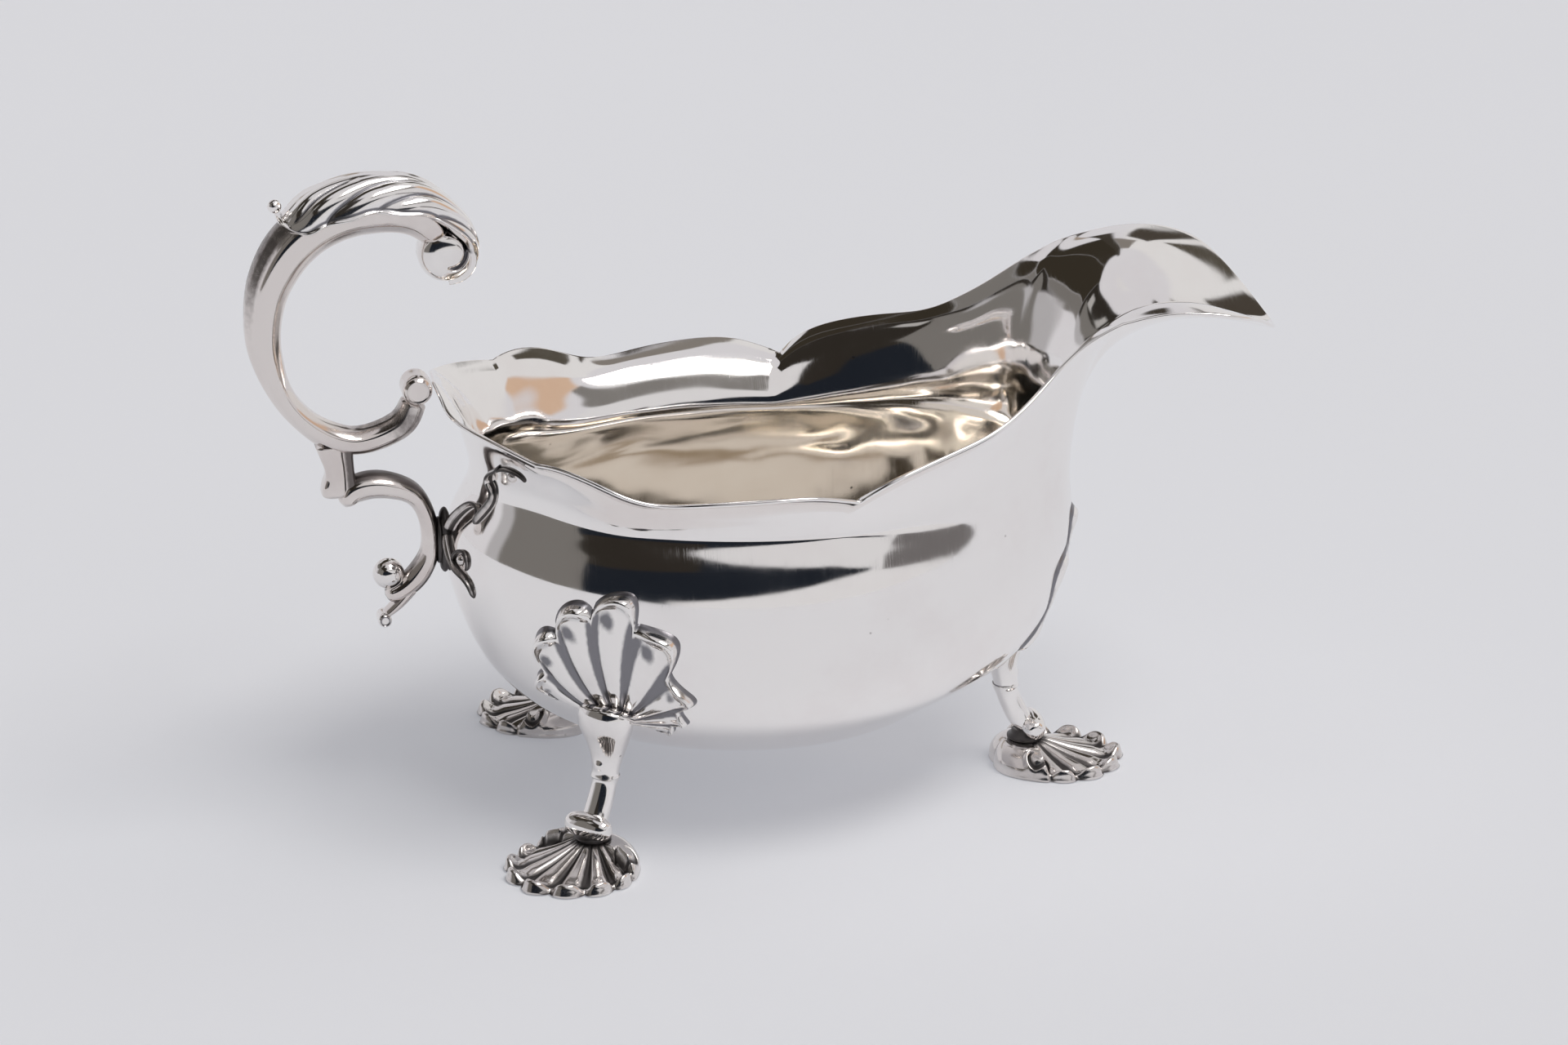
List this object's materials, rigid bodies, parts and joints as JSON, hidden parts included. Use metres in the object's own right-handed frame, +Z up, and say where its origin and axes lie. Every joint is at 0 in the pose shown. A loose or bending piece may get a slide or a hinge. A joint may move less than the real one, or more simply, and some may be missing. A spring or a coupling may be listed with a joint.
{
  "type": "footed sauce boat",
  "caption": "Polished silver sauce boat: oval bulbous bowl with a shaped everted rim and long spout, flying double-scroll handle, shell knees and shell feet.",
  "frame": {"origin": "middle of the object's box, on the table under the feet", "axes": "+Z up, +X towards the tip of the spout, so the handle is at -X; +Y across the bowl"},
  "size_m": [0.1946, 0.1058, 0.1253],
  "materials": {
    "polished_silver": "raised and planished sterling silver, bright polish with fine hairline scratches",
    "cast_silver": "cast and chased sterling silver, polished on the high points with grey tarnish in the recesses"
  },
  "bodies": {
    "root": {"bowl": "polished_silver", "handle_upper_scroll": "polished_silver", "handle_rim_roll": "polished_silver", "thumb_volute": "polished_silver", "handle_leaf": "cast_silver", "leaf_bead": "cast_silver", "handle_stub": "polished_silver", "handle_lower_scroll": "polished_silver", "lower_scroll_ball": "polished_silver", "lower_scroll_tail": "polished_silver", "tail_roll": "polished_silver", "handle_collar": "cast_silver", "wall_bracket": "cast_silver", "rear_near_knee_shell": "cast_silver", "rear_near_shank": "polished_silver", "rear_near_ankle_ring": "polished_silver", "rear_near_shell_foot": "cast_silver", "rear_far_knee_shell": "cast_silver", "rear_far_shank": "polished_silver", "rear_far_ankle_ring": "polished_silver", "rear_far_shell_foot": "cast_silver", "front_knee_shell": "cast_silver", "front_shank": "polished_silver", "front_ankle_ring": "polished_silver", "front_shell_foot": "cast_silver"}
  },
  "joints": []
}
